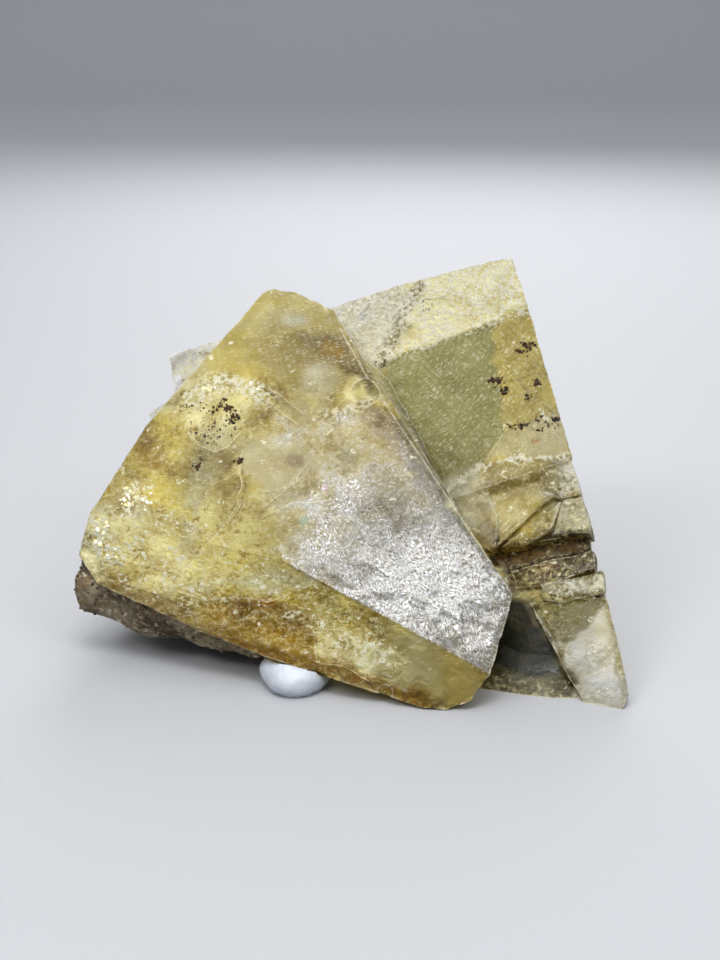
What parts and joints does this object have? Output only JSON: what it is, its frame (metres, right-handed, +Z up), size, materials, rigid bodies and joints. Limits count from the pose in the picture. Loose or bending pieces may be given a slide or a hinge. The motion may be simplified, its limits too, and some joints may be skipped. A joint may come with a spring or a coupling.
{
  "type": "fluorite crystal cluster",
  "caption": "Cluster of intergrown translucent honey-yellow and green fluorite cubes on a broken rock base, with a small white putty pad that props it up for display",
  "frame": {"origin": "bottom centre of the bounding box, on the surface that the cluster stands on", "axes": "+X to the right along the longest side, +Y to the back, away from the two large cleaved faces, +Z up"},
  "size_m": [0.0766, 0.0646, 0.0512],
  "materials": {
    "fluorite": "translucent, etched cleavage faces, rough broken rock below",
    "white_putty": "smooth satin"
  },
  "bodies": {
    "root": {"fluorite_cluster": "fluorite", "putty_pad": "white_putty"}
  },
  "joints": []
}
